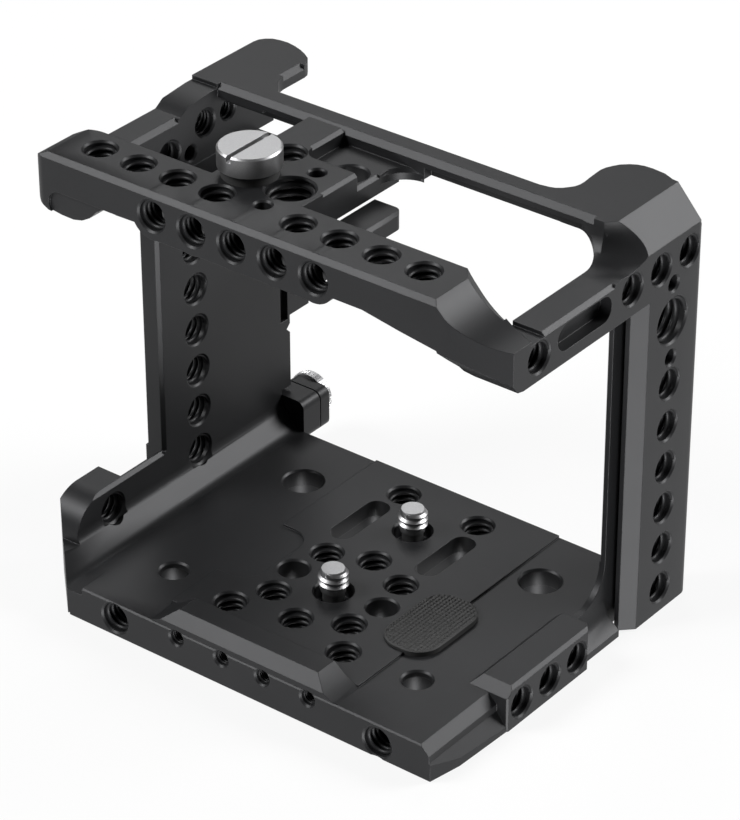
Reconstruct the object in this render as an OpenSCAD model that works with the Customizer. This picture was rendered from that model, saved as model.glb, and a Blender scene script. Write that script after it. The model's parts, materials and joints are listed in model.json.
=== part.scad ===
// Camera cage: a machined frame that a camera body stands in, with rows of
// tapped holes, two captive camera screws, a spare slotted screw and a cable clamp.
// Millimetres. X runs along the long front, Y to the back, Z up.

/* [Whole cage] */
// Width, left edge of the top face to the right lug
cage_w = 107.5; // [106:0.5:110]
// How far the left end of the top bar bulges past that edge
end_bulge = 3.25; // [3:0.05:3.4]
// Depth, front of the base to the back of the top lobes
cage_d = 82.3; // [81:0.1:84]
// Height of the top faces
cage_h = 89.6; // [89:0.1:92]
// Side faces stand this far inside the right lug
side_step = 0.25; // [0.2:0.05:0.4]
// Small bevel on machined edges
edge_bevel = 0.7; // [0.5:0.1:0.9]
// Large bevel on the front edge of the top bar
bar_bevel = 1.0; // [0.8:0.1:1.2]

/* [Tapped holes] */
// Radius of a quarter inch thread
quarter_r = 3.175; // [3.1:0.025:3.25]
// Radius of a three eighths inch thread
three_eighths_r = 4.7625; // [4.7:0.0125:4.8]
// Radius of a small lens support thread
small_thread_r = 1.6; // [1.4:0.1:1.8]
// Radius of the larger tapped hole in the upper wall
upper_thread_r = 2.8; // [2.7:0.1:2.9]
// Radius of a locating pin hole
pin_r = 1.6; // [1.5:0.05:1.7]
// Distance from a three eighths hole to its pin holes
pin_reach = 8.0; // [7.8:0.1:8.2]
// Widening at the mouth of each hole
mouth_flare = 0.4; // [0.3:0.05:0.5]
// Distance between holes of the top row
top_pitch = 9.64; // [9.5:0.02:9.7]
// Left end to the first hole of the top row
top_first = 7.3; // [7:0.1:8]
// Distance between holes on the upright
side_pitch = 9.3; // [9.2:0.05:9.4]
// Height of the lowest hole on the upright
side_first = 5.6; // [5.5:0.1:6]
// Distance between holes in the left wall
wall_pitch = 9.35; // [9.2:0.05:9.5]
// Height of the lowest hole in the left wall
wall_first = 13.9; // [13.8:0.1:14.2]
// Depth of a blind tapped hole
blind_depth = 6.2; // [5.8:0.1:6.4]

/* [Base] */
// Height of the floor beside the camera pad
floor_t = 7.5; // [7.2:0.1:8]
// Depth of the base
base_d = 71.8; // [71:0.1:73]
// Rise of the camera pad above the floor
pad_rise = 0.5; // [0.4:0.1:0.6]
// Width of the floor at the foot of the left wall
foot_w = 8.0; // [7.5:0.1:8]
// Leg of the sloping facet between that floor and the wall
foot_leg = 4.2; // [4:0.1:4.4]
// Radius at both ends of the facet
foot_r = 3.0; // [2.8:0.1:3.2]
// Height of the front stop above the floor
stop_rise = 3.7; // [3.4:0.1:4]
// Bevel on the front of the stop
stop_bevel = 2.3; // [2:0.1:2.5]
// Run of the stop's ends
stop_end_run = 6.0; // [5.5:0.1:6.5]
// Thickness of the stop, front to back
stop_t = 7.15; // [7:0.05:7.5]
// Radius of the large plain holes
large_hole_r = 4.1; // [4:0.05:4.3]
// Radius of the tie holes near the front
tie_hole_r = 2.9; // [2.8:0.05:3]
// Radius of the plain pin holes beside the front screw
plain_hole_r = 3.1; // [3:0.05:3.2]
// Width of the adjustment slots
slot_w = 5.3; // [5.1:0.1:5.5]
// Length of the adjustment slots
slot_len = 16.3; // [16:0.1:17]

/* [Walls] */
// Inner face of the left wall
wall_in = 12.0; // [11.8:0.1:12.2]
// Thickness of the left wall
wall_t = 4.9; // [4.6:0.1:5.1]
// Front of the left wall
wall_y = 34.6; // [34:0.1:35]
// Top of the lower, thicker part of the left wall, below the top faces
wall_step_drop = 14.8; // [14.6:0.1:15]
// Inner face of the upper part of the left wall
upper_in = 7.2; // [7:0.1:7.4]
// Back of the upper part of the left wall, in front of the lobes' back
upper_inset = 5.8; // [5.6:0.1:6]
// Outer face of the left bar
left_out = 0.7; // [0.6:0.1:0.8]
// Top of the left bar, below the top faces
left_drop = 2.9; // [2.8:0.1:3]
// Bevel along the left bar
left_bevel = 1.0; // [0.8:0.1:1.1]
// Top of the lug at the front of the left wall
lug_top = 18.8; // [18.5:0.1:19]
// Tapped hole in that lug, behind the front of the base
lug_hole_y = 18.8; // [18.6:0.1:19]
// The same hole, below the top of the lug
lug_hole_drop = 5.4; // [5.2:0.1:5.6]
// Rounding of the front top corner of that lug
lug_round = 8.2; // [8:0.1:8.4]
// Corner cut of the base, from the left end
corner_cut = 16.0; // [15.8:0.1:16.2]
// Back end of the shallow bevel along that cut
lug_bevel_y = 6.5; // [6:0.1:7]
// Slope of that bevel
lug_tilt = 12; // [10:1:14]
// Outer face of the left lug
lug_out = 5.1; // [5:0.1:5.3]
// Back of the outer lobe on the left lug
lug_lobe_back = 22.4; // [22:0.1:23]

/* [Right side] */
// Thickness of the upright across the cage
upright_t = 6.3; // [6.1:0.1:6.5]
// Depth of the upright, front to back
upright_d = 20.9; // [20.7:0.1:21.1]
// Bevel on the outer front edge of the upright
flange_bevel = 2.5; // [2.3:0.1:2.6]
// Width of the groove down the upright
groove_w = 1.5; // [1.4:0.1:1.6]
// Depth of the groove down the upright
groove_d = 5.5; // [5:0.1:6]
// Width of the inner lip beside the groove
lip_w = 1.3; // [1.2:0.1:1.4]
// How far the inner lip stands in front of the flange
lip_lead = 1.65; // [1.5:0.05:1.8]
// Sweep at the foot of the inner lip
lip_sweep_r = 8.0; // [7.5:0.1:8.2]
// How far below the right bar the groove ends
groove_stop = 0.2; // [0.1:0.05:0.4]
// Rounding of the back right corner
back_round = 2.8; // [2.6:0.1:3]
// Top of the right bar, below the top faces
right_drop = 7.2; // [7.1:0.05:7.25]
// Height of the right bar's section
right_bar_h = 9.2; // [9:0.1:9.4]
// Width of the right bar
right_bar_t = 7.1; // [6.8:0.1:7.3]
// Bevel along the outer top edge of the right bar
right_bevel = 0.84; // [0.7:0.02:0.9]
// Rounding of the window's corner beside the back bar
web_r = 6.0; // [5.6:0.1:6.2]
// Last hole of the row in the right bar, in front of the bar's back
bar_row_back = 5.5; // [5.3:0.1:5.7]
// Distance between its holes
bar_row_pitch = 9.4; // [9.3:0.05:9.5]
// Lone hole of that bar, in front of the top bar's back
first_back = 1.5; // [1.4:0.1:1.7]
// Height of the pocket in the right bar
pocket_h = 5.6; // [5.4:0.1:5.8]
// Length of the pocket in the right bar
pocket_len = 16.9; // [16.5:0.1:17.2]
// Depth of the pocket in the right bar
pocket_d = 2.6; // [2.4:0.1:2.8]
// Gap between the right lug and the sweep of the inner lip
right_lug_gap = 3.35; // [3.2:0.05:3.5]
// Height of the holes in the right lug
right_lug_hole_z = 4.55; // [4.4:0.05:4.7]
// Top of the right lug
right_lug_top = 9.5; // [9.3:0.1:9.7]
// Width of the right lug
right_lug_w = 9.0; // [8.8:0.1:9.2]
// Length of the right lug
right_lug_len = 27.4; // [27:0.1:28]

/* [Top frame] */
// Depth of the windows between the top bar and the back bar
window_d = 29.15; // [29:0.05:29.3]
// Depth of the top bar, front to back
bar_d = 13.3; // [13.2:0.1:13.5]
// Thickness of the top bar
bar_t = 7.5; // [7.4:0.1:7.6]
// Rounding of the left end's front upright corner
end_round = 2.8; // [2.6:0.1:3]
// Rounding of its back upright corner
end_back_round = 6.8; // [6.4:0.1:7]
// Step of the lip at the left end behind the front face
lip_step = 0.5; // [0.4:0.1:0.6]
// Length of the lip that hangs from the left end
lip_run = 14.3; // [14:0.1:14.6]
// Front holes, below the top faces
front_hole_drop = 4.86; // [4.8:0.02:4.9]
// Radius of the bosses under the front holes
boss_r = 5.0; // [4.9:0.1:5.1]
// Length of the bosses, front to back
boss_len = 8.0; // [7.6:0.1:8.4]
// Start of the downward sweep at the right end, from the right face
sweep_run = 15.0; // [14.8:0.1:15.2]
// Drop of that sweep
sweep_drop = 7.25; // [7:0.05:7.4]
// How far that sweep widens at its back edge
sweep_flare = 1.8; // [1.6:0.1:2]
// Width of the band that widens
flare_band = 2.9; // [2.7:0.1:3.1]
// Depth of the back lobes, from the front of the back bar
lobe_d = 22.85; // [22.7:0.05:23]
// Width of the back bar
back_bar_w = 4.65; // [4.55:0.05:4.8]
// Bevel on the outer edge of the right lobe
lobe_bevel = 6.0; // [5.8:0.1:6.1]
// Bevel on the front of the back bar
back_bevel = 1.15; // [1.1:0.05:1.2]
// Thickness of the back bar
back_bar_t = 4.6; // [4.5:0.1:4.8]
// Thin front edge of the back bar
back_edge_t = 2.2; // [2.1:0.1:2.4]
// Left edge of the centre block
block_x = 30.3; // [30:0.1:30.6]
// Width of the centre block
block_w = 21.8; // [21.6:0.1:22]
// Thickness of the centre block
block_t = 7.0; // [6.8:0.1:7.2]
// Depth of the sunk shelf in the centre block
shelf_drop = 3.1; // [3:0.1:3.2]
// Radius of the hole in the shelf
shelf_hole_r = 3.5; // [3.4:0.05:3.6]
// Thickness of the web in the corner behind the shelf
web_t = 2.2; // [2:0.1:2.4]
// Width of the tongue beside the centre block
tongue_w = 6.8; // [6.6:0.1:7]
// Thickness of the tongue
tongue_t = 3.7; // [3.5:0.1:3.9]
// Top of the tongue, below the top faces
tongue_drop = 7.6; // [7.5:0.1:7.8]

/* [Screws] */
// Radius of the captive camera screws' thread
stud_r = 3.05; // [3:0.01:3.1]
// Tip of the captive camera screws above the underside
stud_tip = 13.4; // [13:0.1:13.6]
// Radius of their neck
neck_r = 2.15; // [2.1:0.05:2.2]
// Radius of the well round each neck
well_r = 3.8; // [3.7:0.05:3.9]
// Radius of the captive screw heads
screw_head_r = 6.2; // [6:0.1:6.4]
// Thickness of the captive screw heads
screw_head_t = 2.7; // [2.6:0.1:2.8]
// Width of the clip round a captive screw's neck
clip_w = 2.15; // [2:0.05:2.2]
// Thickness of that clip
clip_t = 0.55; // [0.5:0.05:0.6]
// Thickness of the threaded land above that clip
land_t = 0.7; // [0.6:0.1:0.8]
// Radius of the spare screw's head
spare_head_r = 6.3; // [6.2:0.05:6.4]
// Thickness of the spare screw's head
spare_head_t = 4.0; // [3.8:0.1:4.2]
// Length of the spare screw's thread in the top bar
spare_len = 6.5; // [6:0.1:7]
// Width of the driving slots
drive_w = 1.1; // [1:0.05:1.2]
// Depth of the driving slots
drive_d = 1.3; // [1.2:0.1:1.4]
// Thickness of the washer under the spare screw's head
washer_t = 2.1; // [2:0.1:2.2]
// Outer radius of that washer
washer_r = 5.6; // [5.5:0.1:5.8]

/* [Rubber pad] */
// Length of the rubber pad, front to back
pad_len = 20.5; // [20:0.1:21]
// Width of the rubber pad
pad_w = 12.2; // [12:0.1:12.5]
// Corner rounding of the rubber pad
pad_round = 5.2; // [5:0.1:5.4]
// Height of the rubber pad above the camera pad
pad_proud = 0.7; // [0.6:0.1:0.8]
// Depth of the recesses for the rubber pads
pad_sink = 0.5; // [0.4:0.05:0.5]

/* [Cable clamp] */
// How far the rail stands behind the left wall
rail_lead = 3.0; // [2.8:0.1:3.2]
// Foot of the rail above the underside
rail_z = 15.4; // [15:0.1:16]
// Top of the rail above the underside
rail_top = 62.0; // [60:0.5:64]
// Foot of the rail's deeper part
rail_split_z = 32.2; // [32:0.1:32.6]
// How far the rail's deeper part stands behind the left wall
rail_deep = 9.2; // [8.8:0.1:9.6]
// Width of the clamp's body
clamp_w = 9.4; // [9.2:0.1:9.6]
// Height of the clamp's body
clamp_h = 9.5; // [9.2:0.1:9.8]
// Foot of the clamp above the underside
clamp_z0 = 4.9; // [4.6:0.1:5.2]
// How far the clamp stands under the wall, from its inner face
clamp_under = 3.6; // [3.4:0.1:3.8]
// Corner rounding of the clamp
clamp_round = 1.9; // [1.6:0.1:2]
// Length of the clamp's body behind the wall
clamp_len = 5.4; // [5.2:0.1:5.6]
// Thickness of the clamp's jaw
jaw_t = 2.8; // [2.6:0.1:3]
// Gap at rest between body and jaw
jaw_gap = 0.3; // [0.3:0.05:0.5]
// Radius of the thumb wheel
thumb_r = 4.8; // [4.6:0.1:5]
// Thickness of the thumb wheel
thumb_t = 1.9; // [1.8:0.1:2]
// Radius of the thumb screw's stem
thumb_stem_r = 1.5; // [1.4:0.05:1.6]
// Radius of the bolts that hold the clamp
bolt_r = 0.8; // [0.7:0.05:0.9]
// Radius of their heads
bolt_head_r = 1.3; // [1.2:0.05:1.4]
// Thickness of their heads
bolt_head_t = 1.2; // [1.1:0.1:1.3]

/* [Hidden] */
// Shape of round features
$fn = 48;
// Overrun of every cut
over = 0.6;
// Rise that keeps a sweep just off the face it leaves
seam = 0.02;
// Clearance of a pin that turns or slides in a bore
run_gap = 0.06;
// Clearance between faces that move past each other
face_gap = 0.3;
// Right side faces
right_x = cage_w - side_step;
// Height of the camera pad
pad_z = floor_t + pad_rise;
// Start of the flat floor
floor_x = wall_in + foot_w;
// Outer face of the left wall
wall_out = wall_in - wall_t;
// Back of the left wall and of its upper part
wall_back = base_d;
upper_back = cage_d - upper_inset;
// Heights under the top faces
wall_step_z = cage_h - wall_step_drop;
left_top = cage_h - left_drop;
right_top = cage_h - right_drop;
right_bar_z = right_top - right_bar_h;
tongue_top = cage_h - tongue_drop;
// Front of the upright's outer flange
flange_y = cage_d - upright_d;
// Back bar, and the top bar in front of the windows
back_bar_y = cage_d - lobe_d;
back_bar_back = back_bar_y + back_bar_w;
bar_back = back_bar_y - window_d;
bar_y = bar_back - bar_d;
// Right edge of the centre block
block_end = block_x + block_w;
// Inner edge of the right lug
right_lug_x = cage_w - right_lug_w;
// Back and front of the right lug
right_lug_end = flange_y - lip_lead - lip_sweep_r - right_lug_gap;
right_lug_y = right_lug_end - right_lug_len;
// Underside of the top bar
bar_z = cage_h - bar_t;
// Height of the front holes
front_hole_z = cage_h - front_hole_drop;
// Lines of holes, as shares of the depth of the bar, wall or upright that holds them
top_row_share = 0.59;
big_row_share = 0.308;
wall_row_share = 0.2958;
side_row_share = 0.498;
top_row_y = bar_y + top_row_share * bar_d;
big_y = bar_back + big_row_share * bar_d;
wall_row_y = wall_y + wall_row_share * (wall_back - wall_y);
side_row_y = flange_y + side_row_share * upright_d;
// Inner face of the upright
upright_x = right_x - upright_t;
// Inner face of the right bar
right_in = right_x - right_bar_t;
// Height of the big thread in the upright, as a share of the upright's height
big_side_share = 0.9003;
big_side_z = right_bar_z * big_side_share;
// Heights of the holes in the right bar, as shares of its section
bar_row_share = 0.604;
first_row_share = 0.5214;
bar_row_z = right_bar_z + right_bar_h * bar_row_share;
first_row_z = right_bar_z + right_bar_h * first_row_share;
// Places of the big top thread and of the spare screw in the top row
big_index = 4;
big_x = top_first + big_index * top_pitch;
spare_x = big_x - top_pitch;
// Counts of holes that fit in each row
top_count = floor((right_x - sweep_run - 2 * quarter_r - top_first) / top_pitch) + 1;
wall_count = floor((wall_step_z - 2 * quarter_r - wall_first) / wall_pitch) + 1;
side_count = floor((big_side_z - pin_reach - 2 * pin_r - side_first) / side_pitch) + 1;
// Places on the base, as shares of the cage's width and the base's depth
deck_hole_shares = [[0.468, 0.5387], [0.553, 0.5869], [0.64, 0.5387], [0.469, 0.306], [0.429, 0.1949],
  [0.556, 0.2396], [0.643, 0.306], [0.688, 0.1949], [0.46, 0.9021], [0.633, 0.9021]];
large_hole_shares = [[0.275, 0.7932], [0.829, 0.7932]];
tie_hole_shares = [[0.28, 0.2212], [0.839, 0.2212]];
plain_hole_shares = [[0.453, 0.4218], [0.657, 0.4218]];
slot_hole_shares = [[0.448, 0.7244], [0.648, 0.7244]];
screw_place_shares = [[0.555, 0.4035], [0.548, 0.7703]];
rubber_place_shares = [[0.761, 0.4344], [0.361, 0.4344]];
// Front holes of the base, as shares of width and floor height
front_wide_shares = [[0.264, 0.53], [0.864, 0.44]];
front_small_shares = [[0.41, 0.8], [0.514, 0.8], [0.608, 0.8], [0.71, 0.8]];
// Camera pad and stop, as shares of width
pad_span_shares = [0.344, 0.772];
stop_span_shares = [0.346, 0.774];
// Outlines of the back lobes, as shares of width and of the lobes' depth
left_lobe_shares = [[0.0065, 0], [0.0065, 0.834], [0.009, 0.892], [0.016, 0.939], [0.027, 0.978],
  [0.042, 0.995], [0.06, 1], [0.08, 0.982], [0.098, 0.953], [0.115, 0.914], [0.13, 0.867],
  [0.14, 0.802], [0.1423, 0.748], [0.1423, 0.46], [0.1445, 0.395], [0.15, 0.341], [0.159, 0.29],
  [0.168, 0.244], [0.174, 0.204], [0.174, 0]];
right_lobe_shares = [[0.759, 0], [0.759, 0.204], [0.7775, 0.22], [0.787, 0.236], [0.7963, 0.269],
  [0.8045, 0.316], [0.8105, 0.357], [0.8135, 0.406], [0.814, 0.46], [0.812, 0.568], [0.8103, 0.712],
  [0.813, 0.777], [0.8187, 0.834], [0.826, 0.892], [0.839, 0.948], [0.85, 0.978], [0.8633, 0.996],
  [0.88, 1], [0.907, 0.987], [0.93, 0.943], [0.9977, 0.9125]];
// Right end of the top bar from above, as shares of width and of the bar's depth
bar_right_shares = [[0.8223, 0], [0.889, 0], [0.9977, 0.301], [0.9977, 0.69], [0.93, 0.857], [0.86, 1],
  [0.8223, 1]];
// Underside of the top bar, as shares of width and of the drop to the right bar's underside
bar_under_shares = [[0.0019, 0], [-0.0186, 0.055], [-0.0274, 0.152], [-0.0302, 0.28], [-0.0298, 0.463],
  [-0.0251, 0.585], [-0.0149, 0.671], [0.0037, 0.732], [0.0316, 0.756], [0.0595, 0.759], [0.08, 0.726],
  [0.0977, 0.659], [0.1144, 0.543], [0.133, 0.466], [0.235, 0.448], [0.25, 0.59], [0.62, 0.59],
  [0.638, 0.448], [0.71, 0.448], [0.79, 0.535], [0.866, 0.604], [0.8912, 0.628], [0.933, 0.695],
  [0.9535, 0.744], [0.9977, 0.75], [0.9977, 0]];
// Right end below the bar, seen from the front, in the same shares
end_front_shares = [[0.86, 0.492], [0.866, 0.604], [0.889, 0.94], [0.92, 0.994], [0.9977, 1],
  [0.9977, 0.492]];
// The same seen from the right, as shares of the bar's depth and of that drop
end_side_shares = [[0, 0.492], [0, 0.628], [0.157, 0.754], [0.315, 0.874], [0.405, 0.975],
  [0.572, 1.007], [1, 1.007], [1, 0.492]];
// Holes in the upper wall, as shares of its depth and height, then of the larger thread
upper_place_shares = [[0.5476, 0.66, 1], [0.697, 0.668, 0.75]];
upper_blind_shares = [0.448, 0.248];
upper_big_shares = [0.3117, 0.403];
// Left bar's ramp seen from the right, as shares of the window's depth and of the drop
left_ramp_shares = [[0.6175, 1], [0.693, 0.517], [0.933, 0.31], [1, 0.31]];
// Centre block: corner of the shelf, holes and tongue, as shares of its width and of the window's depth
shelf_shares = [0.39, 0.559];
block_hole_shares = [0.2876, 0.525];
shelf_hole_shares = [0.7816, 0.693];
block_bevel_share = 0.206;
tongue_share = 0.741;
// Section of the front right edge of the base, as shares of the lug's width and of the floor's height
rim_shares = [[0, 0], [0.972, 0], [0.972, 0.14], [0.72, 0.53], [0.72, 0.73], [0.5, 1], [0, 1]];
// Section of the edge between the right lug and the upright
edge_shares = [[0.4, 0], [0.84, 0], [0.84, 0.2], [0.55, 0.5], [0.4, 1]];
// Front right corner of the base seen from above, as shares of width and of the way to the lug
corner_shares = [[0, 0], [0.9795, 0], [0.9926, 0.348], [0.9977, 1], [0, 1]];
// Holes along the right lug, as shares of its length
right_lug_shares = [0.17, 0.5, 0.83];
// Height of the clamp's screw, as a share of the clamp's height
thumb_share = 0.58;

// Points of a share table, scaled by two sizes
function spread(table, a, b) = [for (p = table) [p[0] * a, p[1] * b]];

// The same, measured down from the top faces
function hang(table, a, b) = [for (p = table) [p[0] * a, cage_h - p[1] * b]];

// Drop from the top faces to the underside of the right bar
function right_depth() = right_drop + right_bar_h;

// The cage stands centred on the origin, with its underside on the ground
module placed() {
  translate([end_bulge / 2 - cage_w / 2, -cage_d / 2, 0]) children();
}

// Round cut below the plane z = 0, with a flared mouth
module mouth_cut(r, depth) {
  translate([0, 0, -depth]) cylinder(h = depth + over, r = r);
  translate([0, 0, -mouth_flare]) cylinder(h = mouth_flare + over, r1 = r, r2 = r + mouth_flare + over);
}

// Cut into a face that looks up
module cut_up(x, y, z, r, depth) {
  translate([x, y, z]) mouth_cut(r, depth);
}

// Cut into a face that looks down
module cut_down(x, y, z, r, depth) {
  translate([x, y, z]) rotate([180, 0, 0]) mouth_cut(r, depth);
}

// Cut into a face that looks to the front
module cut_front(x, y, z, r, depth) {
  translate([x, y, z]) rotate([90, 0, 0]) mouth_cut(r, depth);
}

// Cut into a face that looks right
module cut_right(x, y, z, r, depth) {
  translate([x, y, z]) rotate([0, 90, 0]) mouth_cut(r, depth);
}

// Cut into a face that looks left
module cut_left(x, y, z, r, depth) {
  translate([x, y, z]) rotate([0, -90, 0]) mouth_cut(r, depth);
}

// Square bar along X that bevels an edge by leg
module bevel_x(x, y, z, run, leg) {
  translate([x + run / 2, y, z]) rotate([45, 0, 0])
    cube([run, leg * sqrt(2), leg * sqrt(2)], center = true);
}

// The same along Y
module bevel_y(x, y, z, run, leg) {
  translate([x, y + run / 2, z]) rotate([0, 45, 0])
    cube([leg * sqrt(2), run, leg * sqrt(2)], center = true);
}

// The same along Z
module bevel_z(x, y, z, run, leg) {
  translate([x, y, z + run / 2]) rotate([0, 0, 45])
    cube([leg * sqrt(2), leg * sqrt(2), run], center = true);
}

// Box from corner to corner
module block(a, b) {
  translate(a) cube(b - a);
}

// Slot with round ends along Y, cut down from z
module slot_cut(x, y, z, w, run, depth) {
  translate([x, y, z - depth]) linear_extrude(height = depth + over) {
    square([w, run - w], center = true);
    translate([0, run / 2 - w / 2]) circle(r = w / 2);
    translate([0, w / 2 - run / 2]) circle(r = w / 2);
  }
}

// Flat outline with rounded corners
module round_rect(w, d, r) {
  square([w - 2 * r, d], center = true);
  square([w, d - 2 * r], center = true);
  for (i = [-1, 1]) for (j = [-1, 1]) translate([i * (w / 2 - r), j * (d / 2 - r)]) circle(r = r);
}

// Free space over the foot of the left wall, drawn in X and Z
module foot_space() {
  run = foot_r * tan(22.5);
  side = run * sin(45);
  far = floor_x + 2 * foot_w;
  high = floor_t + 4 * foot_w;
  translate([wall_in + foot_r, floor_t + foot_leg + run]) circle(r = foot_r);
  translate([wall_in + foot_leg + run, floor_t + foot_r]) circle(r = foot_r);
  polygon([[wall_in, floor_t + foot_leg + run], [wall_in + side, floor_t + foot_leg - side],
    [wall_in + foot_leg - side, floor_t + side], [wall_in + foot_leg + run, floor_t], [far, floor_t],
    [far, high], [wall_in, high]]);
}

// Way in front of a hole near the foot of the wall
module foot_way(y, z) {
  translate([wall_in, y, z]) rotate([0, 90, 0]) cylinder(h = foot_leg, r = quarter_r);
}

// Section of the left wall, its foot and the floor beside it, drawn in X and Z
module wall_section(out, top) {
  difference() {
    translate([out, 0]) square([floor_x - out, floor_t + foot_w]);
    foot_space();
  }
  translate([out, 0]) square([wall_in - out, top]);
}

module base_plate() {
  color("dimgray") placed() difference() {
    union() {
      block([floor_x, 0, 0], [right_lug_x, base_d, floor_t]);
      front_rim();
      back_edge();
      camera_pad();
      stop_lip();
    }
    bevel_x(floor_x - over, 0, floor_t, cage_w, edge_bevel / 2);
    for (p = deck_hole_shares) cut_up(p[0] * cage_w, p[1] * base_d, pad_z, quarter_r, pad_z + over);
    for (p = deck_hole_shares) cut_down(p[0] * cage_w, p[1] * base_d, 0, quarter_r, mouth_flare);
    for (p = large_hole_shares) large_hole(p[0] * cage_w, p[1] * base_d);
    for (p = tie_hole_shares) tie_hole(p[0] * cage_w, p[1] * base_d);
    for (p = plain_hole_shares) cut_up(p[0] * cage_w, p[1] * base_d, pad_z, plain_hole_r, pad_z + over);
    for (p = slot_hole_shares) base_slot(p[0] * cage_w, p[1] * base_d);
    for (p = screw_place_shares) screw_well(p[0] * cage_w, p[1] * base_d);
    for (p = rubber_place_shares) pad_recess(p[0] * cage_w, p[1] * base_d);
    for (p = front_wide_shares) cut_front(p[0] * cage_w, 0, p[1] * floor_t, quarter_r, blind_depth);
    for (p = front_small_shares) cut_front(p[0] * cage_w, 0, p[1] * floor_t, small_thread_r, blind_depth);
  }
}

// Raised pad that the camera stands on
module camera_pad() {
  block([pad_span_shares[0] * cage_w, stop_t, 0], [pad_span_shares[1] * cage_w, base_d, pad_z]);
}

// Raised stop along the front, with sloping ends
module stop_lip() {
  x0 = stop_span_shares[0] * cage_w;
  x1 = stop_span_shares[1] * cage_w;
  top = floor_t + stop_rise;
  difference() {
    translate([0, stop_t, 0]) rotate([90, 0, 0]) linear_extrude(height = stop_t) stop_front(x0, x1, top);
    bevel_x(x0 - over, 0, top, x1 - x0 + 2 * over, stop_bevel);
  }
}

// Front of the stop, with ends that slope in two steps
module stop_front(x0, x1, top) {
  half = stop_end_run / 2;
  left = [[x0, floor_t - over], [x0, floor_t], [x0 + half, top - stop_bevel], [x0 + stop_end_run, top]];
  right = [[x1 - stop_end_run, top], [x1 - half, top - stop_bevel], [x1, floor_t], [x1, floor_t - over]];
  polygon(concat(left, right));
}

// Stepped edge of the front right corner
module front_rim() {
  intersection() {
    translate([right_lug_x, right_lug_y, 0]) rotate([90, 0, 0]) linear_extrude(height = right_lug_y)
      polygon(spread(rim_shares, right_lug_w, floor_t));
    linear_extrude(height = cage_h) polygon(spread(corner_shares, cage_w, right_lug_y));
  }
}

// Edge between the right lug and the upright, hollow above its foot
module back_edge() {
  block([right_lug_x, right_lug_end, 0], [upright_x + lip_w, flange_y - lip_lead, floor_t]);
  block([right_lug_x, flange_y - lip_lead, 0], [upright_x, base_d, floor_t]);
  translate([right_lug_x, flange_y - lip_lead, 0]) rotate([90, 0, 0])
    linear_extrude(height = flange_y - lip_lead - right_lug_end)
    polygon(spread(edge_shares, right_lug_w, floor_t));
}

module large_hole(x, y) {
  cut_up(x, y, floor_t, large_hole_r, floor_t + over);
  translate([x, y, -over]) cylinder(h = floor_t / 2 + over, r = large_hole_r + 2 * mouth_flare);
}

module tie_hole(x, y) {
  cut_up(x, y, floor_t, tie_hole_r, floor_t + over);
  translate([x, y, -over]) cylinder(h = floor_t - 2 * edge_bevel + over, r = tie_hole_r + 3 * mouth_flare);
}

module base_slot(x, y) {
  slot_cut(x, y, pad_z, slot_w, slot_len, pad_z + over);
  slot_cut(x, y, floor_t / 2, slot_w + 4 * mouth_flare, slot_len + 4 * mouth_flare, floor_t / 2 + over);
}

// Well with a head recess below and a threaded land between
module screw_well(x, y) {
  recess = screw_head_t + face_gap * 2;
  cut_up(x, y, pad_z, well_r, pad_z - recess - clip_t - land_t);
  translate([x, y, -over]) cylinder(h = pad_z, r = quarter_r);
  translate([x, y, -over]) cylinder(h = recess + over, r = screw_head_r + face_gap);
  translate([x, y, -over])
    cylinder(h = recess + clip_t + face_gap / 2 + over, r = neck_r + clip_w + face_gap / 2);
}

module pad_recess(x, y) {
  translate([x, y, pad_z - pad_sink]) linear_extrude(height = pad_sink + over)
    round_rect(pad_w, pad_len, pad_round);
}

module left_wall() {
  color("dimgray") placed() difference() {
    union() {
      translate([0, wall_back, 0]) rotate([90, 0, 0]) linear_extrude(height = wall_back - wall_y)
        wall_section(wall_out, wall_step_z);
      rail();
    }
    bevel_z(wall_in, wall_y, lug_top, wall_step_z, edge_bevel);
    bevel_z(wall_out, wall_y, lug_top, wall_step_z, edge_bevel);
    for (i = [0 : wall_count - 1])
      cut_right(wall_in, wall_row_y, wall_first + i * wall_pitch, quarter_r, wall_t + over);
    for (i = [0 : wall_count - 1])
      cut_left(wall_out, wall_row_y, wall_first + i * wall_pitch, quarter_r, mouth_flare);
    foot_way(wall_row_y, wall_first);
    rail_slots();
    bolt_cuts(false);
  }
}

// Rail along the back of the wall, deeper in its upper part
module rail() {
  block([wall_out, wall_back - over, rail_z], [wall_in, wall_back + rail_lead, rail_top]);
  block([wall_out, wall_back - over, rail_split_z], [wall_in, wall_back + rail_deep, rail_top]);
}

module rail_slots() {
  block([wall_in - groove_w, wall_back, rail_split_z - edge_bevel],
    [wall_in + over, wall_back + rail_lead - edge_bevel, wall_step_z / 2 + rail_lead]);
  bevel_x(wall_out - over, wall_back + rail_lead, rail_split_z - rail_lead, wall_t + 2 * over,
    edge_bevel * 1.5);
}

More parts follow.
